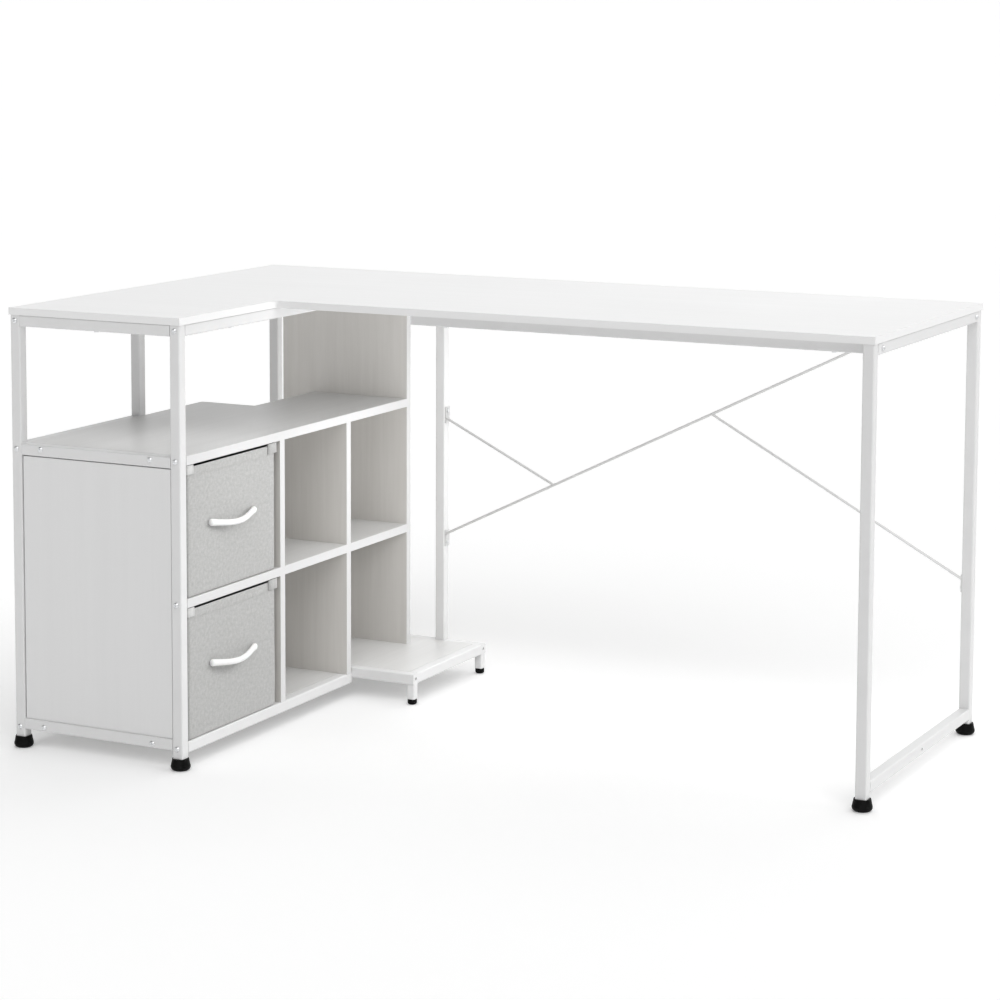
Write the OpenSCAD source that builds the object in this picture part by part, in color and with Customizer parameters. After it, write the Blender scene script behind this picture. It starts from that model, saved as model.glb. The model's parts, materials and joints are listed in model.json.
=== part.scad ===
// Corner desk with a storage return: steel tube frame, laminate boards and two fabric drawers.
// Millimetres, +Z up. The floor is z = 0 and the middle of the outline is x = y = 0.

/* [Desk top] */

// Length of the main board and the return together, left to right
desk_w = 1400; // [1300:10:1600]
// Depth of the desk along its left side
desk_l = 850; // [840:5:920]
// Height of the top surface
desk_h = 745; // [740:5:780]
// Thickness of the top boards
top_t = 12; // [12:1:18]
// Width of the return
return_w = 336; // [330:2:380]
// Front-to-back depth of the main board
main_d = 550; // [520:5:600]
// Radius of the inner corner
corner_r = 5; // [3:1:12]

/* [Frame] */

// Outside width of the square tube
tube = 19; // [19:1:22]
// Wall of the square tube
tube_wall = 1.2; // [1:0.1:1.6]
// How far the legs stand back from the edge of the top
inset = 2; // [1:0.5:4]
// From the front edge of the main board to the middle of its front beam
beam_set = 42; // [40:1:80]
// From the return to the left end of that beam
beam_start = 243; // [200:1:300]

/* [Storage unit] */

// Thickness of the storage boards
board_t = 15; // [15:1:18]
// Height of the upper shelf surface
shelf_z = 518; // [515:1:540]
// Height of the middle shelf surface
mid_z = 283; // [275:1:290]
// Height of the base board surface
base_z = 46; // [45:1:52]
// Length of the drawer bay behind the front rail
bay_front = 294; // [288:1:300]
// Length of the second bay
bay_centre = 215; // [200:1:220]
// Depth of the shelves in the last bay
back_shelf_d = 200; // [160:5:240]
// Width of the tall panel
panel_w = 265; // [240:5:270]

/* [Computer stand] */

// Height of the stand surface
stand_z = 56; // [54:1:60]
// How far the stand reaches to the right of the return
stand_reach = 124; // [100:2:160]
// Width of the short legs of the stand
stand_leg_w = 15; // [12:1:18]

/* [Drawers] */

// Width of a fabric drawer
bin_w = 274; // [260:1:276]
// Depth of a fabric drawer
bin_d = 300; // [260:5:302]
// Open space above a drawer
bin_gap = 5; // [4:0.5:12]
// Length of the handle along the drawer front
handle_w = 150; // [120:2:170]
// How far the middle of the handle bows out
handle_bow = 18; // [15:1:25]
// Thickness of the handle
handle_d = 10; // [8:0.5:12]

/* [Brace] */

// Thickness of the brace rods
rod_d = 5; // [4:0.5:7]
// Height of the low end of the long rod
brace_low = 258; // [200:2:300]
// Height of the left end of the upper left rod
brace_left_z = 478; // [440:2:520]
// Height of the right end of the right rod
brace_right_z = 270; // [220:2:320]

/* [Levelling feet] */

// Width of a foot on the floor
foot_d = 33; // [28:1:36]
// Height of a foot screwed fully in
foot_h = 20; // [20:1:22]

/* [Hidden] */

$fn = 64;

EPS = 0.01;
WHITE = [0.93, 0.93, 0.92];
LAMINATE = [0.95, 0.95, 0.94];
FABRIC = [0.75, 0.75, 0.74];
PAPERBOARD = [0.62, 0.60, 0.56];
BLACK = [0.10, 0.10, 0.10];
STEEL = [0.72, 0.73, 0.74];

tube_r = 2.5;                 // outer corner radius of the tube
plate_t = 2;                  // joining plates, tabs and brackets
end_t = 6;                    // plate welded into each end of a rail
bolt_d = 6;
bolt_hole = bolt_d + 0.4;
bolt_head_d = 9;
bolt_head_h = 2.6;
screw_d = 4;
screw_head_d = 8;
screw_head_h = 2;
screw_bite = 8;               // how deep a screw goes into the top
dowel_d = 8;
dowel_l = 18;
slide_gap = 0.3;              // between a moving piece and what it rests on
fabric_t = 3;
bin_board_t = 3;
bin_r = 5;
bin_side_gap = 3;             // between a drawer and the front legs
handle_drop = 32;             // the bow of the handle hangs down by this angle
handle_down = 100;            // from the top of a drawer to its handle
stem_d = 8;
panel_gap = 1.5;
stand_foot_h = 10;
stand_foot_d = 17;
stand_foot_round = 4;
foot_round = 7;               // rounded lower edge of a levelling foot
foot_top_d = 27.5;
tall_gap = 44;                // from the tall panel to the back legs
mid_leg_gap = 26;             // from the front divider to the middle leg
stand_gap = 3;                // from the storage boards to the stand
rail_bolt_dx = 108;           // bolts of the front rails, either side of the middle
beam_end_screw = 60;
beam_mid_screw = 120;
joint_out = 50;               // from the return to the joint of the top boards
join_gap = 80;                // from that joint to the next screw
plate_in = 110;               // joining plates, from the front edge of the main board
plate_pitch = 310;
plate_screw_in = 10;
plate_screw_pitch = 15;
back_inner_gap = 27;          // from the return to the back inner leg
brace_end_gap = 58;           // from the right side frame to the top of the long rod
dowel_in = 40;
weld_gap = 0.2;
drain_d = 5;
tab_w = 16;
tab_h = 30;
tab_drop = 22;                // from a rod down to the lower edge of its tab
tab_rise = 10;
tab_screw = 7;                // from the free end of a tab to its screw
tab_grip = 8;

// Heights
under_top = desk_h - top_t;
top_rail_z = under_top - tube;
shelf_rail_z = shelf_z - tube;
front_base_z = 33;
side_base_z = base_z - tube;
right_base_z = 27;
stand_rail_z = stand_z - tube;

// Left to right
left_x = inset;
rail_x = left_x + tube;                       // inner face of the left legs
inner_x = return_w - inset - tube;            // left face of the front inner leg
inner_face = inner_x + tube;
back_inner_x = return_w + back_inner_gap;
back_inner_face = back_inner_x + tube;
right_x = desk_w - inset - tube;
beam_x = return_w + beam_start;
joint_x = return_w + joint_out;               // where the two top boards meet
stand_face = return_w + stand_reach;
panel_x = inner_face - panel_w;
back_shelf_x = inner_face - back_shelf_d;

// Front to back
front_y = inset;
rail_y = front_y + tube;                      // inner face of the front legs
main_y = desk_l - main_d;                     // front edge of the main board
right_front_y = main_y + inset;
back_y = desk_l - inset - tube;               // front face of the back legs
beam_front_y = main_y + beam_set - tube / 2;
beam_back_y = back_y - tube;
divider_a = rail_y + bay_front;
divider_b = divider_a + board_t + bay_centre;
mid_leg_y = divider_a + board_t + mid_leg_gap;
store_end = divider_b + board_t;
tall_y = back_y - tall_gap - board_t;
stand_y = store_end + stand_gap;

// Drawers
bin_y = rail_y + bin_side_gap;
bin_x = inner_face - bin_d;
lower_bin_z = base_z + slide_gap;
lower_bin_h = mid_z - board_t - bin_gap - lower_bin_z;
upper_bin_z = mid_z + slide_gap;
upper_bin_h = shelf_z - board_t - bin_gap - upper_bin_z;

// Brace, in its own plane behind the back beam
rod_y = back_y + plate_t + rod_d / 2;
high_tab_t = plate_t + weld_gap;              // the long rod is welded along this tab
tab_mid_y = back_y + tube / 2;
rod_low = [back_inner_face, brace_low];
rod_high = [right_x - brace_end_gap, top_rail_z + tube / 2];
left_join = rod_low + 0.2386 * (rod_high - rod_low);
right_join = rod_low + 0.5676 * (rod_high - rod_low);

// Middles of the tubes, where bolts go
top_mid = top_rail_z + tube / 2;
shelf_mid = shelf_rail_z + tube / 2;
base_mid = side_base_z + tube / 2;
stand_mid = stand_rail_z + tube / 2;
left_mid_x = left_x + tube / 2;
inner_mid_x = inner_x + tube / 2;
back_inner_mid_x = back_inner_x + tube / 2;
upper_board_mid = shelf_z - board_t / 2;
mid_board_mid = mid_z - board_t / 2;
base_board_mid = base_z - board_t / 2 + 1.5;
stem_top = base_mid - bolt_d / 2 - 0.5;        // foot stems and plugs end below the bolts

// Bolts seen on the front: [x, z]
rail_grip = tube + end_t + 6;
board_grip = tube + 25;
left_leg_bolts = [[left_mid_x, top_mid], [left_mid_x, shelf_mid], [left_mid_x, base_mid]];
inner_leg_bolts = [[inner_mid_x, top_mid], [inner_mid_x, base_mid]];
board_bolts = [
  [inner_mid_x, upper_board_mid],
  [inner_mid_x, mid_board_mid],
  for (dx = [-rail_bolt_dx, rail_bolt_dx], z = [upper_board_mid, base_board_mid])
    [return_w / 2 + dx, z],
];
// Bolts from behind: [x, y of the head, z]
back_bolts = [
  [left_mid_x, back_y + tube, top_mid],
  [left_mid_x, back_y + tube, base_mid],
  [left_mid_x, mid_leg_y + tube, shelf_mid],
  [back_inner_mid_x, back_y + tube, top_mid],
];
// Bolts through the right side rail into the beams: y
side_bolts = [beam_front_y + tube / 2, beam_back_y + tube / 2];

// Screws up through the rails into the top: [x, y]
rail_screws = [
  [return_w / 2, front_y + tube / 2],
  [left_mid_x, 0.2 * desk_l],
  [left_mid_x, 0.55 * desk_l],
  [left_mid_x, 0.9 * desk_l],
  [inner_mid_x, 0.2 * desk_l],
  [inner_mid_x, 0.7 * desk_l],
  [beam_x + beam_end_screw, beam_front_y + tube / 2],
  [right_x - beam_end_screw, beam_front_y + tube / 2],
  [joint_x + join_gap, beam_back_y + tube / 2],
  [(joint_x + right_x) / 2, beam_back_y + tube / 2],
  [right_x - beam_mid_screw, beam_back_y + tube / 2],
  [right_x + tube / 2, main_y + 0.3 * main_d],
  [right_x + tube / 2, main_y + 0.7 * main_d],
];
plate_w = 80;
plate_l = 40;
plate_ys = [main_y + plate_in, main_y + plate_in + plate_pitch];
plate_screws = [
  for (y = plate_ys, side = [-1, 1], n = [1, 2]) [joint_x + side * n * plate_screw_pitch, y],
];

// Dowels between storage boards: [x, y, z, along "y" or "z"]
dowel_xs = [rail_x + dowel_in, inner_face - 1.5 * dowel_in];
back_dowel_xs = [back_shelf_x + dowel_in, inner_face - dowel_in];
upright_dowels = [
  for (x = dowel_xs, y = [divider_a, divider_b], z = [base_z, shelf_z - board_t])
    [x, y + board_t / 2, z],
];
level_dowels = [
  for (x = dowel_xs, y = [divider_a, divider_a + board_t, divider_b]) [x, y, mid_board_mid],
  for (x = back_dowel_xs, y = [store_end, tall_y]) [x, y, mid_board_mid],
  for (x = back_dowel_xs) [x, tall_y, upper_board_mid],
];

/* ---- shared shapes ---- */

module at_desk() {
  translate([-desk_w / 2, -desk_l / 2, 0]) children();
}

module rounded_square(w, r) {
  square([w - 2 * r, w], center = true);
  square([w, w - 2 * r], center = true);
  for (sx = [-1, 1], sy = [-1, 1])
    translate([sx * (w / 2 - r), sy * (w / 2 - r)]) circle(r);
}

// Square tube along +Z from the origin; its ends are closed by plates with a bolt hole
module square_tube(len, ends = true) {
  wall_in = tube - 2 * tube_wall;
  lip = ends ? end_t : -1;
  difference() {
    linear_extrude(len) rounded_square(tube, tube_r);
    translate([0, 0, lip]) linear_extrude(len - 2 * lip)
      rounded_square(wall_in, tube_r - tube_wall);
    if (ends) translate([0, 0, -1]) cylinder(d = bolt_hole, h = len + 2);
  }
}

// Corner of the tube's box at [x, y, z]
module tube_x(x0, x1, y, z) {
  translate([x0, y + tube / 2, z + tube / 2]) rotate([0, 90, 0]) square_tube(x1 - x0);
}

module tube_y(x, y0, y1, z) {
  translate([x + tube / 2, y0, z + tube / 2]) rotate([-90, 0, 0]) square_tube(y1 - y0);
}

module leg(x, y, z0 = foot_h, z1 = under_top) {
  translate([x + tube / 2, y + tube / 2, z0]) square_tube(z1 - z0, ends = false);
}

module board(x0, x1, y0, y1, z0, z1) {
  translate([x0, y0, z0]) cube([x1 - x0, y1 - y0, z1 - z0]);
}

// Button-head bolt: shank along +Z from the origin, head below
module bolt(grip) {
  socket = [for (i = [0:5]) 2 * [cos(60 * i), sin(60 * i)]];
  difference() {
    union() {
      cylinder(d = bolt_d, h = grip);
      translate([0, 0, -bolt_head_h / 2]) cylinder(d = bolt_head_d, h = bolt_head_h / 2);
      translate([0, 0, -bolt_head_h])
        cylinder(d1 = bolt_head_d - 3, d2 = bolt_head_d, h = bolt_head_h / 2);
    }
    translate([0, 0, -bolt_head_h - EPS]) linear_extrude(1.6) polygon(socket);
  }
}

module bolt_bore(grip) {
  translate([0, 0, -EPS]) cylinder(d = bolt_hole, h = grip + 1);
}

// Children pointed along +Y, -Y or -X instead of +Z
module to_back() { rotate([-90, 0, 0]) children(); }
module to_front() { rotate([90, 0, 0]) children(); }
module to_left() { rotate([0, -90, 0]) children(); }

module front_bores(places, grip) {
  for (p = places) translate([p[0], front_y, p[1]]) to_back() bolt_bore(grip);
}

module back_bores() {
  for (p = back_bolts) translate(p) to_front() bolt_bore(rail_grip);
}

module side_bores() {
  for (y = side_bolts) translate([right_x + tube, y, top_mid]) to_left() bolt_bore(rail_grip);
}

module screw(len) {
  cylinder(d = screw_d, h = len);
  translate([0, 0, -screw_head_h]) cylinder(d = screw_head_d, h = screw_head_h);
}

// Holes for the screws that hold the top; z0 is where the head sits
module top_bores() {
  for (p = concat(rail_screws, plate_screws))
    translate([p[0], p[1], top_rail_z - 1])
      cylinder(d = screw_d + 0.2, h = tube + 1 + screw_bite + 0.5);
}

module dowels(extra = 0) {
  for (p = upright_dowels) translate([p[0], p[1], p[2] - dowel_l / 2 - extra])
    cylinder(d = dowel_d + extra, h = dowel_l + 2 * extra);
  for (p = level_dowels) translate([p[0], p[1] - dowel_l / 2 - extra, p[2]])
    to_back() cylinder(d = dowel_d + extra, h = dowel_l + 2 * extra);
}

// Half outline of a foot: rounded lower edge, then a taper up to top_d
module rounded_foot(d, top_d, h, round) {
  square([d / 2 - round, round]);
  translate([d / 2 - round, round]) circle(round, $fn = 48);
  polygon([[0, round], [d / 2, round], [top_d / 2, h], [0, h]]);
}

/* ---- top ---- */

module top_left() {
  color(LAMINATE) at_desk() difference() {
    translate([0, 0, under_top]) linear_extrude(top_t) difference() {
      union() {
        square([return_w, desk_l]);
        translate([0, main_y]) square([joint_x, main_d]);
        translate([return_w - EPS, main_y - corner_r]) square([corner_r + EPS, corner_r + EPS]);
      }
      translate([return_w + corner_r, main_y - corner_r]) circle(corner_r);
    }
    top_bores();
  }
}

module top_main() {
  color(LAMINATE) at_desk() difference() {
    board(joint_x, desk_w, main_y, desk_l, under_top, desk_h);
    top_bores();
  }
}

module joint_plates() {
  color(STEEL) at_desk() difference() {
    for (y = plate_ys) board(joint_x - plate_w / 2, joint_x + plate_w / 2,
      y - plate_l / 2, y + plate_l / 2, under_top - plate_t, under_top);
    top_bores();
  }
}

module top_screws() {
  color(STEEL) at_desk() {
    for (p = rail_screws) translate([p[0], p[1], top_rail_z]) screw(tube + screw_bite);
    for (p = plate_screws) translate([p[0], p[1], under_top - plate_t])
      screw(plate_t + screw_bite);
  }
}

/* ---- legs ---- */

module leg_front_left() {
  color(WHITE) at_desk() difference() {
    leg(left_x, front_y);
    front_bores(left_leg_bolts, rail_grip);
  }
}

module leg_front_inner() {
  color(WHITE) at_desk() difference() {
    leg(inner_x, front_y);
    front_bores(inner_leg_bolts, rail_grip);
    front_bores(board_bolts, board_grip);
  }
}

module leg_mid_left() {
  color(WHITE) at_desk() difference() {
    leg(left_x, mid_leg_y, z1 = top_rail_z);
    back_bores();
  }
}

module leg_back_left() {
  color(WHITE) at_desk() difference() {
    leg(left_x, back_y);
    back_bores();
  }
}

module leg_back_inner() {
  color(WHITE) at_desk() difference() {
    leg(back_inner_x, back_y, z0 = stand_z);
    back_bores();
    tab_bores();
  }
}

module leg_right_front() {
  color(WHITE) at_desk() leg(right_x, right_front_y);
}

module leg_right_back() {
  color(WHITE) at_desk() difference() {
    leg(right_x, back_y);
    tab_bores();
  }
}

/* ---- rails ---- */

module rail_front_top() {
  color(WHITE) at_desk() difference() {
    tube_x(rail_x, inner_x, front_y, top_rail_z);
    top_bores();
  }
}

module rail_front_shelf() {
  color(WHITE) at_desk() difference() {
    tube_x(rail_x, inner_x, front_y, shelf_rail_z);
    front_bores(board_bolts, board_grip);
  }
}

module rail_front_base() {
  color(WHITE) at_desk() difference() {
    tube_x(rail_x, inner_x, front_y, front_base_z);
    front_bores(board_bolts, board_grip);
  }
}

module rail_left_top() {
  color(WHITE) at_desk() difference() {
    tube_y(left_x, rail_y, back_y, top_rail_z);
    top_bores();
  }
}

module rail_left_shelf() {
  color(WHITE) at_desk() tube_y(left_x, rail_y, mid_leg_y, shelf_rail_z);
}

module rail_left_base_front() {
  color(WHITE) at_desk() tube_y(left_x, rail_y, mid_leg_y, side_base_z);
}

module rail_left_base_back() {
  color(WHITE) at_desk() tube_y(left_x, mid_leg_y + tube, back_y, side_base_z);
}

module rail_inner_top() {
  color(WHITE) at_desk() difference() {
    tube_y(inner_x, rail_y, beam_back_y, top_rail_z);
    top_bores();
  }
}

module rail_inner_base() {
  color(WHITE) at_desk() tube_y(inner_x, rail_y, stand_y, side_base_z);
}

module beam_front() {
  color(WHITE) at_desk() difference() {
    tube_x(beam_x, right_x, beam_front_y, top_rail_z);
    top_bores();
  }
}

module beam_back() {
  color(WHITE) at_desk() difference() {
    tube_x(rail_x, right_x, beam_back_y, top_rail_z);
    top_bores();
    back_bores();
    tab_bores();
  }
}

module beam_bracket() {
  color(STEEL) at_desk() {
    board(beam_x - plate_t, beam_x, beam_front_y, beam_front_y + tube, top_rail_z, under_top);
    board(beam_x - 30, beam_x, beam_front_y, beam_front_y + tube,
      under_top - plate_t, under_top);
  }
}

module rail_right_top() {
  color(WHITE) at_desk() difference() {
    tube_y(right_x, right_front_y + tube, back_y, top_rail_z);
    top_bores();
    side_bores();
  }
}

// Its drain hole goes through the outer wall, halfway along
module rail_right_base() {
  middle = [right_x + tube, (right_front_y + tube + back_y) / 2, right_base_z + tube / 2];
  color(WHITE) at_desk() difference() {
    tube_y(right_x, right_front_y + tube, back_y, right_base_z);
    translate(middle) rotate([0, -90, 0]) translate([0, 0, -1])
      cylinder(d = drain_d, h = tube / 2);
  }
}

/* ---- storage boards ---- */

module end_panel() {
  color(LAMINATE) at_desk() board(rail_x + panel_gap, inner_x - panel_gap,
    rail_y - 1 - board_t, rail_y - 1, front_base_z + tube, shelf_rail_z - panel_gap);
}

module storage_board(x0, x1, y0, y1, z0, z1) {
  color(LAMINATE) at_desk() difference() {
    board(x0, x1, y0, y1, z0, z1);
    dowels(0.2);
    front_bores(board_bolts, board_grip);
  }
}

module shelf_upper() {
  storage_board(rail_x, inner_face, rail_y, store_end, shelf_z - board_t, shelf_z);
}

module shelf_upper_back() {
  storage_board(back_shelf_x, inner_face, store_end, tall_y, shelf_z - board_t, shelf_z);
}

module shelf_mid_front() {
  storage_board(rail_x, inner_face, rail_y, divider_a, mid_z - board_t, mid_z);
}

module shelf_mid_centre() {
  storage_board(rail_x, inner_face, divider_a + board_t, divider_b, mid_z - board_t, mid_z);
}

module shelf_mid_back() {
  storage_board(back_shelf_x, inner_face, store_end, tall_y, mid_z - board_t, mid_z);
}

module shelf_base() {
  storage_board(rail_x, inner_x, rail_y, stand_y, base_z - board_t, base_z);
}

module divider_front() {
  storage_board(rail_x, inner_face, divider_a, divider_a + board_t, base_z, shelf_z - board_t);
}

module divider_back() {
  storage_board(rail_x, inner_face, divider_b, store_end, base_z, shelf_z - board_t);
}

module tall_panel() {
  storage_board(panel_x, inner_face, tall_y, tall_y + board_t, stand_z, top_rail_z);
}

module shelf_dowels() {
  color(PAPERBOARD) at_desk() dowels();
}

/* ---- computer stand ---- */

module stand_rail_front() {
  color(WHITE) at_desk() tube_x(rail_x, stand_face, stand_y, stand_rail_z);
}

module stand_rail_back() {
  color(WHITE) at_desk() tube_x(rail_x, stand_face, back_y, stand_rail_z);
}

module stand_rail_side() {
  color(WHITE) at_desk() tube_y(stand_face - tube, stand_y + tube, back_y, stand_rail_z);
}

// Short round-cornered legs welded under the free corners of the stand
module stand_legs() {
  leg_in = stand_leg_w - 2 * tube_wall;
  color(WHITE) at_desk() for (y = [stand_y, back_y])
    translate([stand_face - stand_leg_w / 2, y + tube / 2, stand_foot_h]) difference() {
      linear_extrude(stand_rail_z - stand_foot_h) rounded_square(stand_leg_w, tube_r);
      translate([0, 0, -1]) linear_extrude(stand_rail_z - stand_foot_h)
        rounded_square(leg_in, tube_r - tube_wall);
    }
}

module stand_board() {
  color(LAMINATE) at_desk() board(rail_x, stand_face - tube, stand_y + tube, back_y,
    stand_z - board_t, stand_z);
}

module stand_feet() {
  plug_d = stand_leg_w - 2 * tube_wall - 0.4;
  color(BLACK) at_desk() for (y = [stand_y, back_y])
    translate([stand_face - stand_leg_w / 2, y + tube / 2, 0]) {
      rotate_extrude() rounded_foot(stand_foot_d, stand_foot_d, stand_foot_h, stand_foot_round);
      translate([0, 0, stand_foot_h - 1]) cylinder(d = plug_d, h = tube - 3);
    }
}

/* ---- brace ---- */

module rod_between(a, b, extra = 0) {
  run = b - a;
  translate([a[0], rod_y, a[1]]) rotate([0, atan2(run[0], run[1]), 0])
    cylinder(d = rod_d + extra, h = norm(run));
}

// Flat tab against a leg's side face, x0 to x0 + plate_t
module leg_tab(x0, z0) {
  difference() {
    board(x0, x0 + plate_t, tab_mid_y - tab_w / 2, tab_mid_y + tab_w / 2, z0, z0 + tab_h);
    tab_bores();
  }
}

// Puts a screw, or its bore, through each of the four tabs of the brace
module at_tabs() {
  for (z = [brace_low - tab_drop + tab_screw, brace_left_z - tab_rise + tab_h - tab_screw])
    translate([back_inner_face + plate_t, tab_mid_y, z]) rotate([0, -90, 0]) children();
  translate([right_x - plate_t, tab_mid_y, brace_right_z - tab_drop + tab_screw])
    rotate([0, 90, 0]) children();
  translate([rod_high[0], back_y + high_tab_t, rod_high[1]]) to_front() children();
}

module tab_bores() {
  at_tabs() translate([0, 0, -1]) cylinder(d = screw_d + 0.4, h = tab_grip + 2);
}

module brace_long() {
  run = rod_high - rod_low;
  color(WHITE) at_desk() {
    intersection() {
      rod_between(rod_low - 0.02 * run, rod_high - 8 * run / norm(run));
      board(back_inner_face, right_x, back_y, back_y + tube, 0, desk_h);
    }
    leg_tab(back_inner_face, brace_low - tab_drop);
    difference() {
      translate([rod_high[0], back_y + high_tab_t, rod_high[1]])
        rotate([90, atan2(run[0], run[1]) - 90, 0])
          linear_extrude(high_tab_t) union() {
            circle(d = tab_w);
            translate([-20, -tab_w / 2]) square([20, tab_w]);
          }
      board(0, desk_w, back_y - 10, back_y, 0, desk_h);
      tab_bores();
    }
  }
}

module brace_left() {
  start = [back_inner_face, brace_left_z];
  color(WHITE) at_desk() {
    difference() {
      rod_between(start - 0.02 * (left_join - start), left_join);
      rod_between(rod_low, rod_high, 2 * weld_gap);
      board(back_inner_x, back_inner_face, back_y, back_y + tube, 0, desk_h);
    }
    leg_tab(back_inner_face, brace_left_z - tab_rise);
  }
}

module brace_right() {
  start = [right_x, brace_right_z];
  color(WHITE) at_desk() {
    difference() {
      rod_between(start - 0.02 * (right_join - start), right_join);
      rod_between(rod_low, rod_high, 2 * weld_gap);
      board(right_x, right_x + tube, back_y, back_y + tube, 0, desk_h);
    }
    leg_tab(right_x - plate_t, brace_right_z - tab_drop);
  }
}

/* ---- fasteners ---- */

module frame_bolts() {
  color(STEEL) at_desk() {
    for (p = concat(left_leg_bolts, inner_leg_bolts))
      translate([p[0], front_y, p[1]]) to_back() bolt(rail_grip);
    for (p = board_bolts) translate([p[0], front_y, p[1]]) to_back() bolt(board_grip);
    for (p = back_bolts) translate(p) to_front() bolt(rail_grip);
    for (y = side_bolts)
      translate([right_x + tube, y, top_mid]) to_left() bolt(rail_grip);
    at_tabs() screw(tab_grip);
  }
}

module leg_plugs() {
  plug_w = tube - 2 * tube_wall;
  spots = [
    [left_x, front_y], [inner_x, front_y], [left_x, mid_leg_y], [left_x, back_y],
    [right_x, right_front_y], [right_x, back_y],
  ];
  color(BLACK) at_desk() for (p = spots)
    translate([p[0] + tube / 2, p[1] + tube / 2, foot_h]) difference() {
      linear_extrude(stem_top - foot_h) rounded_square(plug_w, tube_r - tube_wall);
      translate([0, 0, -1]) cylinder(d = stem_d + 2 * slide_gap, h = stem_top);
    }
}

/* ---- levelling feet ---- */

module foot(x, y) {
  color(BLACK) at_desk() translate([x + tube / 2, y + tube / 2, 0]) {
    rotate_extrude() rounded_foot(foot_d, foot_top_d, foot_h, foot_round);
    translate([0, 0, foot_h - 1]) cylinder(d = stem_d, h = stem_top - foot_h + 1);
  }
}

module foot_front_left() { foot(left_x, front_y); }
module foot_front_inner() { foot(inner_x, front_y); }
module foot_mid_left() { foot(left_x, mid_leg_y); }
module foot_back_left() { foot(left_x, back_y); }
module foot_right_front() { foot(right_x, right_front_y); }
module foot_right_back() { foot(right_x, back_y); }

/* ---- drawers ---- */

module bin_outline(shrink) {
  w = bin_w - 2 * shrink;
  d = bin_d - 2 * shrink;
  r = bin_r - shrink / 2;
  translate([shrink, shrink]) {
    translate([r, 0]) square([d - 2 * r, w]);
    translate([0, r]) square([d, w - 2 * r]);
    for (x = [r, d - r], y = [r, w - r]) translate([x, y]) circle(r);
  }
}

module fabric_bin(z, h) {
  color(FABRIC) at_desk() translate([bin_x, bin_y, z]) difference() {
    linear_extrude(h) bin_outline(0);
    translate([0, 0, fabric_t]) linear_extrude(h) bin_outline(fabric_t);
  }
}

module bin_board(z) {
  color(PAPERBOARD) at_desk() translate([bin_x, bin_y, z + fabric_t])
    linear_extrude(bin_board_t) bin_outline(fabric_t + 0.5);
}

module handle(z_top) {
  half = handle_w / 2;
  radius = (half * half + handle_bow * handle_bow) / (2 * handle_bow);
  sweep = asin(half / radius) + 3;
  color(WHITE) at_desk() intersection() {
    translate([inner_face, bin_y + bin_w / 2, z_top - handle_down])
      rotate([0, handle_drop, 0]) translate([handle_bow - radius, 0, 0])
        rotate([0, 0, -sweep]) rotate_extrude(angle = 2 * sweep, $fn = 96)
          translate([radius, 0]) circle(d = handle_d, $fn = 32);
    board(inner_face, inner_face + 80, bin_y, bin_y + bin_w, 0, shelf_z);
  }
}

module drawer_upper() { fabric_bin(upper_bin_z, upper_bin_h); }
module drawer_upper_board() { bin_board(upper_bin_z); }
module drawer_upper_handle() { handle(upper_bin_z + upper_bin_h); }
module drawer_lower() { fabric_bin(lower_bin_z, lower_bin_h); }
module drawer_lower_board() { bin_board(lower_bin_z); }
module drawer_lower_handle() { handle(lower_bin_z + lower_bin_h); }

top_left();
top_main();
joint_plates();
top_screws();
leg_front_left();
leg_front_inner();
leg_mid_left();
leg_back_left();
leg_back_inner();
leg_right_front();
leg_right_back();
rail_front_top();
rail_front_shelf();
rail_front_base();
rail_left_top();
rail_left_shelf();
rail_left_base_front();
rail_left_base_back();
rail_inner_top();
rail_inner_base();
beam_front();
beam_back();
beam_bracket();
rail_right_top();
rail_right_base();
end_panel();
shelf_upper();
shelf_upper_back();
shelf_mid_front();
shelf_mid_centre();
shelf_mid_back();
shelf_base();
divider_front();
divider_back();
tall_panel();
shelf_dowels();
stand_rail_front();
stand_rail_back();
stand_rail_side();
stand_legs();
stand_board();
stand_feet();
brace_long();
brace_left();
brace_right();
frame_bolts();
leg_plugs();
foot_front_left();
foot_front_inner();
foot_mid_left();
foot_back_left();
foot_right_front();
foot_right_back();
drawer_upper();
drawer_upper_board();
drawer_upper_handle();
drawer_lower();
drawer_lower_board();
drawer_lower_handle();
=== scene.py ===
import json
import math

import bmesh
import bpy
from mathutils import Matrix, Vector, noise

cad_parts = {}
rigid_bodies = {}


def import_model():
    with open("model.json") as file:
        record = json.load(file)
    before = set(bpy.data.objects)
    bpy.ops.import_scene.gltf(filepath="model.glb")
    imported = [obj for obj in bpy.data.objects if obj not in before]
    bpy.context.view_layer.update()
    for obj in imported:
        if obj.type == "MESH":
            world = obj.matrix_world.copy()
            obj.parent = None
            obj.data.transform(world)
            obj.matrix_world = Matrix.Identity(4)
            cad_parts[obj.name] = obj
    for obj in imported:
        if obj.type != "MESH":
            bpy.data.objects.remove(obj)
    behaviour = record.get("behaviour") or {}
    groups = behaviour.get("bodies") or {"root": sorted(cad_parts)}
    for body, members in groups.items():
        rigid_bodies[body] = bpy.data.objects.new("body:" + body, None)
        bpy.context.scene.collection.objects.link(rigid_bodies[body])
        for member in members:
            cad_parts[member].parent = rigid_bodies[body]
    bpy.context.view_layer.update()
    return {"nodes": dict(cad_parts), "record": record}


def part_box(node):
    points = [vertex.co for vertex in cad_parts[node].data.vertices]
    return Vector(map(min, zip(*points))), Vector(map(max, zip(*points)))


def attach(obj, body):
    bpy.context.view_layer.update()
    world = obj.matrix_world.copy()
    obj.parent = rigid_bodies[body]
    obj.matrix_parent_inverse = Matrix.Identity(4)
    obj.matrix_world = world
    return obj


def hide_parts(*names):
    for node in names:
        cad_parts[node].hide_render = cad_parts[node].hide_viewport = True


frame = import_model()

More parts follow.
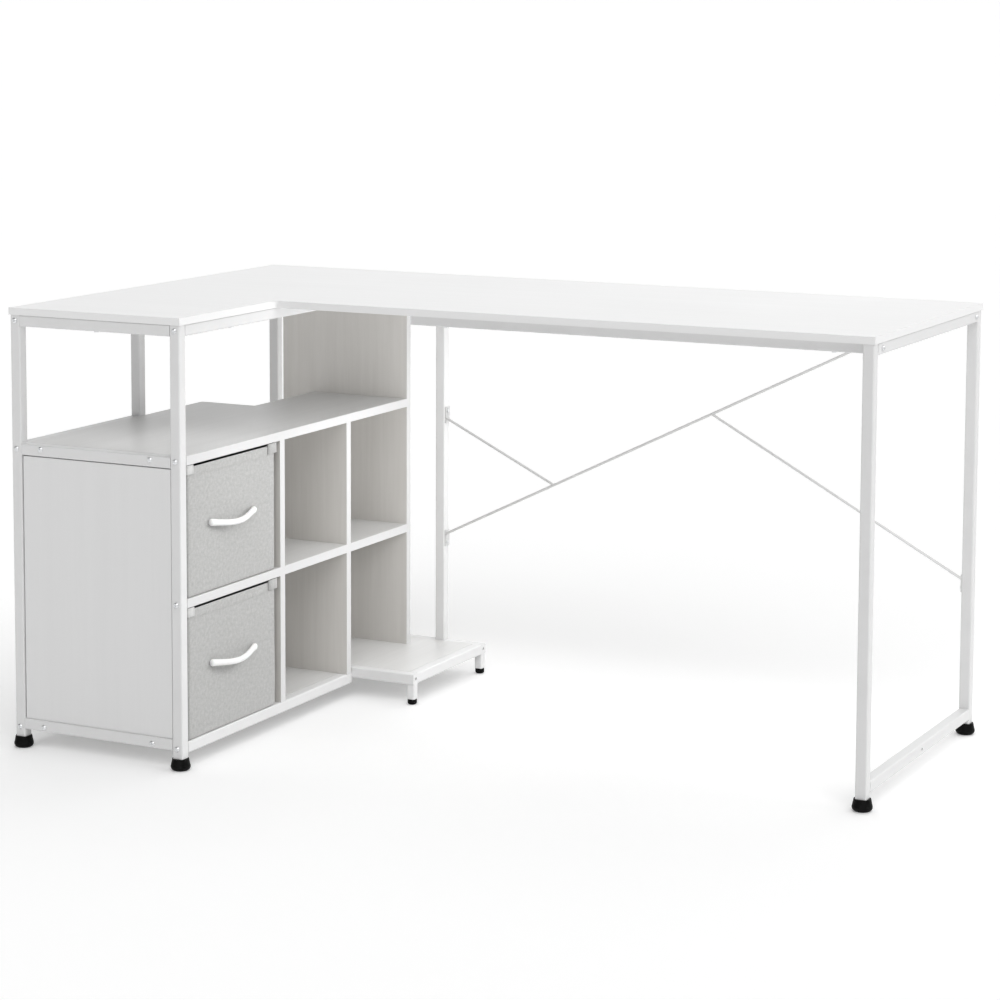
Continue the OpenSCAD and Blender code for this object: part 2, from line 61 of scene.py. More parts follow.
# Lengths are in metres, as in the frame. X runs to the desk's right, Y to its back, Z up.
MM = 0.001
SLOT_OF = {p["node"]: p["material_slot"] for p in frame["record"]["subparts"]}


# ---------------------------------------------------------------- shader help

class Shader:
    """A material's node tree, with one call for each kind of node that is used here."""

    def __init__(self, name):
        self.material = bpy.data.materials.new(name)
        self.material.use_nodes = True
        self.tree = self.material.node_tree
        self.nodes = self.tree.nodes
        self.surface = self.nodes["Principled BSDF"]

    def add(self, kind, **values):
        node = self.nodes.new(kind)
        for key, value in values.items():
            setattr(node, key, value)
        return node

    def link(self, start, end):
        self.tree.links.new(start, end)

    def set(self, **values):
        for key, value in values.items():
            self.surface.inputs[key.replace("_", " ")].default_value = value

    def place(self, scale=(1, 1, 1), source="Object"):
        """Where on the piece a point is, in metres, stretched by a scale for each axis."""
        coordinates = self.add("ShaderNodeTexCoord")
        mapping = self.add("ShaderNodeMapping")
        mapping.inputs["Scale"].default_value = scale
        self.link(coordinates.outputs[source], mapping.inputs["Vector"])
        return mapping.outputs["Vector"]

    def noise(self, place, scale=1.0, detail=3.0, roughness=0.5, distortion=0.0):
        node = self.add("ShaderNodeTexNoise")
        node.inputs["Scale"].default_value = scale
        node.inputs["Detail"].default_value = detail
        node.inputs["Roughness"].default_value = roughness
        node.inputs["Distortion"].default_value = distortion
        self.link(place, node.inputs["Vector"])
        return node.outputs["Fac"]

    def wave(self, place, direction, scale, distortion, detail):
        node = self.add("ShaderNodeTexWave", bands_direction=direction)
        node.inputs["Scale"].default_value = scale
        node.inputs["Distortion"].default_value = distortion
        node.inputs["Detail"].default_value = detail
        self.link(place, node.inputs["Vector"])
        return node.outputs["Fac"]

    def math(self, operation, a, b):
        node = self.add("ShaderNodeMath", operation=operation)
        for socket, value in zip(node.inputs, (a, b)):
            if isinstance(value, (int, float)):
                socket.default_value = value
            else:
                self.link(value, socket)
        return node.outputs[0]

    def weighted(self, *pairs):
        """The sum of several values, each times its weight."""
        total = None
        for value, weight in pairs:
            part = self.math("MULTIPLY", value, weight)
            total = part if total is None else self.math("ADD", total, part)
        return total

    def remap(self, value, low, high, start=0.3, end=0.7):
        """Spread a value from start..end to low..high. The noise here stays near 0.3 to 0.7."""
        node = self.add("ShaderNodeMapRange")
        node.inputs["From Min"].default_value = start
        node.inputs["From Max"].default_value = end
        node.inputs["To Min"].default_value = low
        node.inputs["To Max"].default_value = high
        self.link(value, node.inputs["Value"])
        return node.outputs["Result"]

    def blend(self, factor, dark, light):
        """A colour between two fixed ones."""
        node = self.add("ShaderNodeMix", data_type="RGBA")
        node.inputs["A"].default_value = (*dark, 1)
        node.inputs["B"].default_value = (*light, 1)
        self.link(factor, node.inputs["Factor"])
        return node.outputs["Result"]

    def mix(self, factor, first, second):
        """From a colour made by nodes to a fixed one."""
        node = self.add("ShaderNodeMix", data_type="RGBA")
        node.inputs["B"].default_value = (*second, 1)
        self.link(first, node.inputs["A"])
        self.link(factor, node.inputs["Factor"])
        return node.outputs["Result"]

    def facing_away(self, axis):
        """1 on faces that don't look along the axis, 0 on those that do."""
        geometry = self.add("ShaderNodeNewGeometry")
        parts = self.add("ShaderNodeSeparateXYZ")
        self.link(geometry.outputs["True Normal"], parts.inputs["Vector"])
        return self.math("LESS_THAN", self.math("ABSOLUTE", parts.outputs[axis], 0.0), 0.5)

    def bump(self, height, depth_mm, strength=1.0, under=None):
        node = self.add("ShaderNodeBump")
        node.inputs["Strength"].default_value = strength
        node.inputs["Distance"].default_value = depth_mm * MM
        self.link(height, node.inputs["Height"])
        if under is not None:
            self.link(under, node.inputs["Normal"])
        return node.outputs["Normal"]

    def finish(self, color, roughness=None, normal=None):
        pairs = (("Base Color", color), ("Roughness", roughness), ("Normal", normal))
        for socket, value in pairs:
            if value is not None:
                self.link(value, self.surface.inputs[socket])
        return self.material


def grain_scale(along, per_metre_across, per_metre_along):
    """A scale that draws a noise out along the grain's axis."""
    return [per_metre_along if axis == along else per_metre_across for axis in "XYZ"]


def laminate(name, grain, face, edge, flat="Z"):
    """White melamine-faced board: faint printed grain along one axis, smooth banded edges."""
    shader = Shader(name)
    long_place = shader.place(grain_scale(grain, 46.0, 1.6))
    streaks = shader.noise(long_place, detail=5.0, roughness=0.62, distortion=0.35)
    fibres = shader.noise(shader.place(grain_scale(grain, 420.0, 14.0)), detail=2.0)
    patches = shader.noise(shader.place(), scale=3.2, detail=2.0)
    tone = shader.weighted((streaks, 0.62), (fibres, 0.23), (patches, 0.15))
    printed = shader.blend(shader.remap(tone, 0, 1, 0.36, 0.64), *face)
    on_edge = shader.facing_away(flat)
    color = shader.mix(on_edge, printed, edge)
    rough = shader.math("SUBTRACT", shader.remap(patches, 0.34, 0.44),
                        shader.math("MULTIPLY", on_edge, 0.06))
    normal = shader.bump(fibres, 0.025, 0.5, shader.bump(streaks, 0.04, 0.3))
    shader.set(Specular_IOR_Level=0.45, Coat_Weight=0.06, Coat_Roughness=0.22)
    return shader.finish(color, rough, normal)


def powder_coat(name, dark, light):
    """White powder coat: orange peel, a few settled specks and a slightly uneven gloss."""
    shader = Shader(name)
    peel = shader.noise(shader.place(), scale=560.0, detail=2.0)
    cloud = shader.noise(shader.place(), scale=22.0, detail=3.0)
    color = shader.blend(shader.remap(cloud, 0, 1), dark, light)
    rough = shader.remap(cloud, 0.36, 0.46)
    shader.set(Specular_IOR_Level=0.5, Coat_Weight=0.12, Coat_Roughness=0.2)
    return shader.finish(color, rough, shader.bump(peel, 0.05, 0.5))


def zinc(name):
    """Zinc-plated steel: fine turning marks and a cloudy shine."""
    shader = Shader(name)
    turned = shader.noise(shader.place(), scale=900.0, detail=2.0)
    cloud = shader.noise(shader.place(), scale=160.0, detail=3.0)
    color = shader.blend(shader.remap(cloud, 0, 1), (0.7, 0.71, 0.72), (0.84, 0.85, 0.86))
    shader.set(Metallic=0.8)
    return shader.finish(color, shader.remap(cloud, 0.22, 0.4), shader.bump(turned, 0.01, 0.4))


def rubber(name, dark, light):
    """Black moulded rubber or nylon with a dull, grainy skin."""
    shader = Shader(name)
    grain = shader.noise(shader.place(), scale=1500.0, detail=2.0)
    cloud = shader.noise(shader.place(), scale=120.0, detail=3.0)
    color = shader.blend(shader.remap(cloud, 0, 1), dark, light)
    shader.set(Specular_IOR_Level=0.08)
    return shader.finish(color, shader.remap(cloud, 0.38, 0.56), shader.bump(grain, 0.03, 0.6))


def moulded(name, dark, light, gloss=(0.3, 0.42)):
    """Smooth moulded plastic with a little depth under its skin."""
    shader = Shader(name)
    cloud = shader.noise(shader.place(), scale=70.0, detail=3.0)
    skin = shader.noise(shader.place(), scale=1300.0, detail=1.0)
    color = shader.blend(shader.remap(cloud, 0, 1), dark, light)
    shader.set(Specular_IOR_Level=0.5, Subsurface_Weight=0.04, Subsurface_Scale=0.004)
    return shader.finish(color, shader.remap(cloud, *gloss), shader.bump(skin, 0.015, 0.5))


def beech(name):
    """Bare beech, with its grain along the dowels."""
    shader = Shader(name)
    rings = shader.noise(shader.place(grain_scale("Y", 300, 60)), detail=4.0)
    color = shader.blend(shader.remap(rings, 0, 1), (0.46, 0.32, 0.18), (0.66, 0.5, 0.32))
    return shader.finish(color, shader.remap(rings, 0.5, 0.7), shader.bump(rings, 0.05, 0.4))


def pressed_board(name):
    """Grey board with pressed fibres, inside the fabric drawers."""
    shader = Shader(name)
    fibres = shader.noise(shader.place(grain_scale("Y", 160, 700)), detail=4.0)
    color = shader.blend(shader.remap(fibres, 0, 1), (0.3, 0.29, 0.27), (0.44, 0.42, 0.39))
    return shader.finish(color, shader.remap(fibres, 0.7, 0.9), shader.bump(fibres, 0.08, 0.6))


YARN = 0.85 * MM
WAVE_SPAN = 2 * math.pi / 20.0      # a wave texture of scale 1 has one band in this length


def woven(name, dark, light, slub=0.55):
    """Plain weave in heather yarns. The piece's UV map is in metres along and up the cloth."""
    shader = Shader(name)
    cloth = shader.place(source="UV")
    per_metre = 1.0 / (2.0 * YARN)
    warp = shader.wave(cloth, "X", per_metre * WAVE_SPAN, 0.25, 1.0)
    weft = shader.wave(cloth, "Y", per_metre * WAVE_SPAN, 0.25, 1.0)
    warp_slub = shader.noise(shader.place((700.0, 110.0, 1.0), "UV"), detail=3.0)
    weft_slub = shader.noise(shader.place((110.0, 700.0, 1.0), "UV"), detail=3.0)
    mottle = shader.noise(shader.place((170.0, 170.0, 1.0), "UV"), detail=4.0)
    slubs = shader.weighted((warp_slub, 0.5), (weft_slub, 0.5))
    tone = shader.weighted((slubs, slub), (mottle, 1.0 - slub))
    knit = shader.math("MULTIPLY", warp, weft)
    shade = shader.weighted((tone, 0.86), (knit, 0.14))
    color = shader.blend(shader.remap(shade, 0, 1, 0.34, 0.62), dark, light)
    height = shader.math("ADD", knit, shader.math("MULTIPLY", slubs, 0.8))
    shader.set(Sheen_Weight=0.25, Sheen_Roughness=0.5, Specular_IOR_Level=0.2)
    return shader.finish(color, shader.remap(tone, 0.82, 0.95), shader.bump(height, 0.28, 0.6))


def grey(level, less_blue=0.0):
    """A grey, a little warmer where some blue is taken out."""
    return (level, level, level - less_blue)


TOP_EDGE = grey(0.79)
BOARD_EDGE = grey(0.645)
TOP_FACE = (grey(0.82), grey(0.845))
# The boards in the board_laminate slot share one laminate, given here in three greys by place.
END_FACE = (grey(0.708), grey(0.723))
# Darker, warmer copy of the board laminate for the uprights: painted shade inside the cubbies.
SHADED_UPRIGHT_FACE = ((0.597, 0.58, 0.553), (0.647, 0.63, 0.603))
# Darker copy of the board laminate for the shelves: painted shade inside the cubbies.
SHADED_SHELF_FACE = ((0.61, 0.608, 0.601), (0.65, 0.648, 0.641))
MATERIALS = {
    "top_laminate": laminate("top_laminate", "X", TOP_FACE, TOP_EDGE),
    "end_laminate": laminate("end_laminate", "Z", END_FACE, BOARD_EDGE, "Y"),
    # The upright and shelf copies of the board laminate are darker: painted shade.
    "shaded_upright_laminate": laminate("shaded_upright_laminate", "Z", SHADED_UPRIGHT_FACE, BOARD_EDGE, "Y"),
    "shaded_shelf_laminate": laminate("shaded_shelf_laminate", "Y", SHADED_SHELF_FACE, BOARD_EDGE),
    "frame_steel": powder_coat("frame_steel", grey(0.68), grey(0.705)),
    # Lighter copy of the frame's powder coat for the thin brace rods: painted light.
    "lit_rod_steel": powder_coat("lit_rod_steel", grey(0.72, 0.005), grey(0.76, 0.005)),
    "zinc_steel": zinc("zinc_steel"),
    "foot_rubber": rubber("foot_rubber", grey(0.002), grey(0.006)),
    "plug_plastic": rubber("plug_plastic", grey(0.02), grey(0.035)),
    "handle_plastic": moulded("handle_plastic", grey(0.8, 0.005), grey(0.86, 0.005)),
    "drawer_board": pressed_board("drawer_board"),
    "dowel_wood": beech("dowel_wood"),
    "drawer_fabric": woven("drawer_fabric", grey(0.35, 0.007), grey(0.488, 0.008)),
    "hem_tape": woven("hem_tape", grey(0.52, 0.005), grey(0.62, 0.01), 0.35),
    "thread": moulded("thread", grey(0.44, 0.01), grey(0.52, 0.01), (0.6, 0.7)),
}
UPRIGHTS = {"divider_front", "divider_back", "tall_panel"}
RODS = {"brace_long", "brace_left", "brace_right"}


# ---------------------------------------------------------------- CAD nodes

def finish_of(node):
    """The node's material: its slot's own, or for the boards and the brace rods a copy of their
    slot's finish in another grey: painted shade on the shelves and uprights, painted light on the
    rods.
    """
    slot = SLOT_OF[node]
    # The brace rods take the lighter copy of the frame's coat: painted light.
    if node in RODS:
        return MATERIALS["lit_rod_steel"]
    if slot != "board_laminate":
        return MATERIALS[slot]
    if node == "end_panel":
        return MATERIALS["end_laminate"]
    # Shelves and uprights take the darker copies of the one board laminate: painted shade.
    return MATERIALS["shaded_upright_laminate" if node in UPRIGHTS else "shaded_shelf_laminate"]


def dress(node, piece):
    """Give a CAD node its material, and ease the sharp edges of the boards."""
    piece.data.materials.clear()
    piece.data.materials.append(finish_of(node))
    if SLOT_OF[node] in ("board_laminate", "top_laminate"):
        weld = piece.modifiers.new("weld", "WELD")
        weld.merge_threshold = 0.01 * MM
        ease = piece.modifiers.new("eased_edges", "BEVEL")
        ease.width = 0.6 * MM
        ease.segments = 2
        ease.limit_method = "ANGLE"
        ease.angle_limit = math.radians(60)
        ease.harden_normals = True


for node, piece in frame["nodes"].items():
    dress(node, piece)


# ---------------------------------------------------------------- mesh help

def new_piece(name, verts, faces, material, uvs=None, smooth=True):
    """A mesh object of one material. The UVs, if any, are one for each vertex."""
    mesh = bpy.data.meshes.new(name)
    mesh.from_pydata([tuple(v) for v in verts], [], faces)
    mesh.materials.append(material)
    if uvs is not None:
        layer = mesh.uv_layers.new(name="cloth")
        for loop in mesh.loops:
            layer.data[loop.index].uv = uvs[loop.vertex_index]
    if smooth:
        mesh.polygons.foreach_set("use_smooth", [True] * len(mesh.polygons))
    mesh.update()
    piece = bpy.data.objects.new(name, mesh)
    bpy.context.scene.collection.objects.link(piece)
    return piece


def outward(piece):
    """Turn the faces of a closed piece outwards."""
    tidy = bmesh.new()
    tidy.from_mesh(piece.data)
    bmesh.ops.recalc_face_normals(tidy, faces=tidy.faces)
    tidy.to_mesh(piece.data)
    tidy.free()
    return piece


def strips(rings):
    """Faces between each ring of point numbers and the next one, closed at both ends."""
    faces = []
    for a, b in zip(rings, rings[1:]):
        count = len(a)
        for j in range(count):
            k = (j + 1) % count
            faces.append((a[j], a[k], b[k], b[j]))
    faces.append(tuple(reversed(rings[0])))
    faces.append(tuple(rings[-1]))
    return faces


# ---------------------------------------------------------------- fabric drawers

WALL = 2.6 * MM             # cloth, board and lining together
SKIN_INSET = 0.4 * MM       # how far the outer skin lies inside the CAD wall's face
SKIN_BACK = 0.25 * MM       # what the bulges of the cloth need
CORNER = 4.0 * MM
LEAST_CORNER = 0.8 * MM
HEM_DEPTH = 17 * MM
HEM_SWELL = 0.05 * MM
HEM_STEP = (0.8 * MM, 0.6 * MM)     # rows below and above the hem's lower edge
RIM_LIFT = 0.7 * MM         # the cloth's fold over the top of the board
SIDE_STEPS = 56
END_STEPS = 52
CORNER_STEPS = 5
ROWS_UP = 40
LINING_ROWS = 12
LINING_FOOT = 3 * MM        # the lining ends a little above the bottom
# How far the cloth is pulled in under the drawer, by height over its bottom.
BOTTOM_TUCK = {0.0: 3.2 * MM, 0.6 * MM: 2.0 * MM, 1.4 * MM: 1.1 * MM, 2.6 * MM: 0.4 * MM}
CLEAR_OF_TUCK = 4 * MM
CLEAR_OF_RIM = 2.2 * MM
RIM_FOLD = 1.4 * MM         # how far the fold over the rim reaches down inside
# Soft bulges, small dents and drag lines: share of a millimetre, waves in each metre along
# and up the cloth, and how far apart their noises are taken.
CLOTH_RELIEF = ((0.55, 9.0, 11.0, 0.0), (0.22, 34.0, 26.0, 7.0), (0.16, 60.0, 9.0, 3.0))
RELIEF_GROWTH = 5.0         # how fast the relief grows away from the bottom and the rim
LEAST_RELIEF = 0.12         # the share that is left of it there
LINING_RELIEF = 0.5         # the lining's share of the outer skin's relief


def way_at(degrees):
    """The level way at an angle from X towards Y."""
    angle = math.radians(degrees)
    return Vector((math.cos(angle), math.sin(angle)))


def wall_path(low, high, inset):
    """Points round the outline of a drawer, each with its outward way."""
    x0, x1 = low.x + inset, high.x - inset
    y0, y1 = low.y + inset, high.y - inset
    r = max(CORNER - inset, LEAST_CORNER)
    corners = [(Vector((x1 - r, y0 + r)), -90), (Vector((x1 - r, y1 - r)), 0),
               (Vector((x0 + r, y1 - r)), 90), (Vector((x0 + r, y0 + r)), 180)]
    points = []
    for index, (centre, start) in enumerate(corners):
        for step in range(CORNER_STEPS + 1):
            way = way_at(start + 90 * step / CORNER_STEPS)
            points.append((centre + r * way, way))
        next_centre = corners[(index + 1) % len(corners)][0]
        way = way_at(start + 90)
        begin = centre + r * way
        end = next_centre + r * way
        steps = END_STEPS if index % 2 == 0 else SIDE_STEPS
        for step in range(1, steps):
            points.append((begin.lerp(end, step / steps), way))
    return points


def pucker(along, up, height, seed):
    """How far the cloth stands off its board: less near the bottom and the rim."""
    relief = 0.0
    for share, per_metre_along, per_metre_up, offset in CLOTH_RELIEF:
        spot = Vector((along * per_metre_along, up * per_metre_up, seed + offset))
        relief += share * noise.noise(spot)
    edge = min(1.0, RELIEF_GROWTH * min(up, height - up) / height + LEAST_RELIEF)
    return relief * MM * edge


def wall_rows(height):
    """Heights of the rows of points on the outer skin, below the rim."""
    rows = list(BOTTOM_TUCK)
    for i in range(1, ROWS_UP):
        z = height * i / ROWS_UP
        if z > CLEAR_OF_TUCK:
            rows.append(z)
    rows += [height - HEM_DEPTH - HEM_STEP[0], height - HEM_DEPTH + HEM_STEP[1]]
    return sorted(z for z in rows if z < height - CLEAR_OF_RIM)


def fabric_wall(name, node, seed):
    """Walls, rim and lining of a fabric drawer as one closed skin with thickness."""
    low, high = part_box(node)
    height = high.z - low.z + RIM_LIFT
    outer = wall_path(low, high, SKIN_INSET)
    inner = wall_path(low, high, SKIN_INSET + WALL)
    distance = [0.0]
    for (a, _), (b, _) in zip(outer, outer[1:]):
        distance.append(distance[-1] + (b - a).length)
    verts, uvs, rings = [], [], []

    def ring(path, z, stand_off, pulled_in=0.0):
        start = len(verts)
        for along, (point, way) in zip(distance, path):
            off = stand_off(along, z) - pulled_in
            verts.append((point.x + way.x * off, point.y + way.y * off, low.z + z))
            uvs.append((along, z if path is outer else 2 * height - z))
        rings.append(range(start, len(verts)))

    def outside(along, z):
        swell = HEM_SWELL if z > height - HEM_DEPTH else 0.0
        return pucker(along, z, height, seed) + swell - SKIN_BACK

    def inside(along, z):
        return -pucker(along, z, height, seed + 20) * LINING_RELIEF

    def smooth(along, z):
        return 0.0

    for z in wall_rows(height):
        ring(outer, z, outside, BOTTOM_TUCK.get(z, 0.0))
    # The fold over the rim, from outside to inside.
    ring(outer, height - 1.2 * MM, outside, 0.15 * MM)
    ring(outer, height - 0.3 * MM, outside, 0.7 * MM)
    ring(outer, height, smooth, 1.3 * MM)
    ring(inner, height - 0.3 * MM, smooth, -0.6 * MM)
    ring(inner, height - RIM_FOLD, smooth)
    for i in range(LINING_ROWS):
        z = (height - RIM_FOLD) * (LINING_ROWS - 1 - i) / LINING_ROWS + LINING_FOOT
        ring(inner, z, inside)
    return new_piece(name, verts, strips(rings), MATERIALS["drawer_fabric"], uvs)


STITCH_LENGTH = 2.9 * MM
STITCH_PITCH = 4.2 * MM
THREAD_WIDTH = 0.7 * MM
HEM_SEAM_UP = 2.2 * MM      # over the hem's lower edge
HEM_SEAM_END = 7 * MM       # from a drawer's upright edges to the seam's ends
HEM_SEAM_SUNK = 0.15 * MM
EDGE_SEAM_IN = 3.6 * MM     # from a drawer's upright edge
EDGE_SEAM_FOOT = 5 * MM
EDGE_SEAM_SUNK = 0.75 * MM
# Rows of points along a stitch: share of its length, lift and width, both in threads.
STITCH_ROWS = ((-0.5, -0.15, 0.35), (-0.25, 0.5, 1.0), (0.25, 0.5, 1.0), (0.5, -0.15, 0.35))
# Points across each row: side in half widths, and crown in half threads.
STITCH_ACROSS = ((-1, 0.0), (0, 0.6), (1, 0.0))


def stitches(name, places):
    """Rows of sewn stitches: each place is (middle, direction, outward)."""
    verts, faces = [], []
    columns = len(STITCH_ACROSS)
    for middle, run, out in places:
        across = run.cross(out).normalized()
        base = len(verts)
        for share, lift, wide in STITCH_ROWS:
            for side, crown in STITCH_ACROSS:
                verts.append(middle + run * (share * STITCH_LENGTH)
                             + across * (side * wide * THREAD_WIDTH / 2)
                             + out * (lift * THREAD_WIDTH + crown * THREAD_WIDTH * 0.5))
        for row in range(len(STITCH_ROWS) - 1):
            for column in range(columns - 1):
                a = base + row * columns + column
                faces.append((a, a + 1, a + columns + 1, a + columns))
    return new_piece(name, verts, faces, MATERIALS["thread"])


def pitches(start, stop):
    """Places a stitch pitch apart, from the start on and before the stop."""
    while start < stop:
        yield start
        start += STITCH_PITCH


def seam_places(low, high):
    """Stitches over the hem's lower edge, and beside the upright edges of front and back."""
    places = []
    up, along_y, along_x = Vector((0, 0, 1)), Vector((0, 1, 0)), Vector((1, 0, 0))
    hem_z = high.z - HEM_DEPTH + HEM_SEAM_UP
    for x, out in ((high.x, along_x), (low.x, -along_x)):
        for y in pitches(low.y + HEM_SEAM_END, high.y - HEM_SEAM_END):
            places.append((Vector((x, y, hem_z)) + out * -HEM_SEAM_SUNK, along_y, out))
        for y in (low.y + EDGE_SEAM_IN, high.y - EDGE_SEAM_IN):
            for z in pitches(low.z + EDGE_SEAM_FOOT, high.z - HEM_DEPTH):
                places.append((Vector((x, y, z)) + out * -EDGE_SEAM_SUNK, up, out))
    for y, out in ((high.y, along_y), (low.y, -along_y)):
        for x in pitches(low.x + HEM_SEAM_END, high.x - HEM_SEAM_END):
            places.append((Vector((x, y, hem_z)) + out * -HEM_SEAM_SUNK, along_x, out))
    return places


TAB_THICK = 1.2 * MM
TAB_SUNK = 0.25 * MM
TAB_EASE = 0.35 * MM
TAB_RISE = 4.1 * MM         # how far a tab stands above the rim
# Each side's tabs: how tall, how wide, how far they stand off the side, and their cloth.
LEFT_TAB = (11 * MM, 16 * MM, 2.0 * MM, "hem_tape")
RIGHT_TAB = (13 * MM, 24 * MM, 6.0 * MM, "drawer_fabric")


def tab_outline(wide):
    """Spots round a corner, from one side to the other, each with its outward way."""
    along_y, slant, along_x = Vector((0.0, 1.0)), Vector((0.8, 0.8)), Vector((1.0, 0.0))
    return [(Vector((-wide, 0.0)), along_y),
            (Vector((-wide * 0.5, 0.0)), along_y),
            (Vector((-2.5 * MM, 0.0)), along_y),
            (Vector((-0.7 * MM, -0.2 * MM)), slant),
            (Vector((-0.2 * MM, -0.7 * MM)), slant),
            (Vector((0.0, -2.5 * MM)), along_x),
            (Vector((0.0, -wide * 0.5)), along_x),
            (Vector((0.0, -wide)), along_x)]


def corner_tab(name, corner, way_x, way_y, kind):
    """A tape folded round a top corner: it stands above the rim and off the side."""
    tall, wide, wing, cloth = kind
    outline = tab_outline(wide)
    levels = [-tall, -tall + 0.6 * MM, -tall * 0.5, -2 * MM, TAB_RISE - 0.5 * MM, TAB_RISE]
    rows, columns = len(levels), len(outline)
    verts, uvs = [], []
    for outer in (True, False):
        for row, z in enumerate(levels):
            ease = TAB_EASE if row in (0, rows - 1) else 0.0
            off_x = TAB_THICK - ease if outer else -TAB_SUNK
            off_y = wing - ease if outer else -TAB_SUNK
            for spot, out in outline:
                verts.append((corner.x + way_x * (spot.x + out.x * off_x),
                              corner.y + way_y * (spot.y + out.y * off_y), corner.z + z))
                uvs.append((spot.x - spot.y, z))

    def at(side, row, column):
        return (side * rows + row) * columns + column

    faces = []
    for row in range(rows - 1):
        for column in range(columns - 1):
            faces.append((at(0, row, column), at(0, row, column + 1),
                          at(0, row + 1, column + 1), at(0, row + 1, column)))
            faces.append((at(1, row, column + 1), at(1, row, column),
                          at(1, row + 1, column), at(1, row + 1, column + 1)))
    for row in range(rows - 1):
        faces.append((at(1, row, 0), at(0, row, 0), at(0, row + 1, 0), at(1, row + 1, 0)))
        faces.append((at(0, row, columns - 1), at(1, row, columns - 1),
                      at(1, row + 1, columns - 1), at(0, row + 1, columns - 1)))
    for column in range(columns - 1):
        faces.append((at(1, 0, column), at(1, 0, column + 1),
                      at(0, 0, column + 1), at(0, 0, column)))
        faces.append((at(0, rows - 1, column), at(0, rows - 1, column + 1),
                      at(1, rows - 1, column + 1), at(1, rows - 1, column)))
    return outward(new_piece(name, verts, faces, MATERIALS[cloth], uvs))


HANDLE_OFF_MIDDLE = 6 * MM
HANDLE_HALF_SPAN = 69.5 * MM
HANDLE_FOOT_OUT = 4 * MM
HANDLE_CLEAR = 4.5 * MM     # from the handle's middle line to the faces of its CAD box
HANDLE_DROOP = 7.4 * MM
# Half its height and depth in millimetres: in the middle, and what its ends add.
HANDLE_HALF_TALL, TALLER_ENDS = 5.0, 1.2
HANDLE_HALF_DEEP, DEEPER_ENDS = 4.3, 0.8
HANDLE_STEPS = 48
HANDLE_SIDES = 20
END_CLOSING = 0.78          # the end rings are smaller, which rounds the ends


def pull_handle(name, node):
    """A moulded bow handle: it leans out and down, and its rounded ends are thicker."""
    low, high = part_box(node)
    middle = (low.y + high.y) / 2 - HANDLE_OFF_MIDDLE
    bow_out = high.x - low.x - HANDLE_FOOT_OUT - HANDLE_CLEAR
    top = high.z - HANDLE_CLEAR
    centres = []
    for i in range(HANDLE_STEPS + 1):
        t = i / HANDLE_STEPS
        bow = math.sin(math.pi * t) ** 1.2
        centres.append(Vector((low.x + HANDLE_FOOT_OUT + bow * bow_out,
                               middle + (2 * t - 1) * HANDLE_HALF_SPAN,
                               top - bow * HANDLE_DROOP)))
    verts, rings = [], []
    for i, centre in enumerate(centres):
        run = (centres[min(i + 1, HANDLE_STEPS)] - centres[max(i - 1, 0)]).normalized()
        side = run.cross(Vector((0.0, 0.0, 1.0))).normalized()
        rise = side.cross(run).normalized()
        at_end = abs(2 * i / HANDLE_STEPS - 1) ** 4
        closing = END_CLOSING if i in (0, HANDLE_STEPS) else 1.0
        half_tall = (HANDLE_HALF_TALL + TALLER_ENDS * at_end) * closing * MM
        half_deep = (HANDLE_HALF_DEEP + DEEPER_ENDS * at_end) * closing * MM
        start = len(verts)
        for j in range(HANDLE_SIDES):
            angle = 2 * math.pi * j / HANDLE_SIDES
            verts.append(centre + side * (half_deep * math.cos(angle))
                         + rise * (half_tall * math.sin(angle)))
        rings.append(range(start, len(verts)))
    return outward(new_piece(name, verts, strips(rings), MATERIALS["handle_plastic"]))


for level, seed in (("upper", 3.0), ("lower", 11.0)):
    body = f"drawer_{level}_body"
    node = f"drawer_{level}"
    low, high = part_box(node)
    walls = fabric_wall(f"{node}_cloth", node, seed)
    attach(walls, body)
    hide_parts(node)
    sewing = stitches(f"{node}_stitches", seam_places(low, high))
    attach(sewing, body)
    for end, x, way_x in (("front", high.x, 1), ("back", low.x, -1)):
        for side, y, way_y, kind in (("left", low.y, -1, LEFT_TAB),
                                     ("right", high.y, 1, RIGHT_TAB)):
            corner = Vector((x, y, high.z))
            tab = corner_tab(f"{node}_tab_{end}_{side}", corner, way_x, way_y, kind)
            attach(tab, body)
    grip = pull_handle(f"{node}_pull", f"{node}_handle")
    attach(grip, body)
    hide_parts(f"{node}_handle")


# ---------------------------------------------------------------- stage, light, camera

FLOOR_RADIUS = 600.0
FLOOR_GLOW = 0.17           # stands in for the lamp that spares the floor


def floor_material():
    """Matt near-white, with faint clouds and a little glow."""
    shader = Shader("floor")
    cloud = shader.noise(shader.place(), scale=0.8, detail=2.0)
    color = shader.blend(cloud, grey(0.985), grey(1.0))
    shader.set(Roughness=0.9, Specular_IOR_Level=0.0)
    shader.set(Emission_Color=(1, 1, 1, 1), Emission_Strength=FLOOR_GLOW)
    return shader.finish(color)


def make_floor():
    """A pale disc that reaches past the camera's view on all sides."""
    corners = 64
    ring = []
    for i in range(corners):
        angle = 2 * math.pi * i / corners
        ring.append((FLOOR_RADIUS * math.cos(angle), FLOOR_RADIUS * math.sin(angle), 0.0))
    floor = new_piece("floor", ring, [tuple(range(corners))], floor_material(), smooth=False)


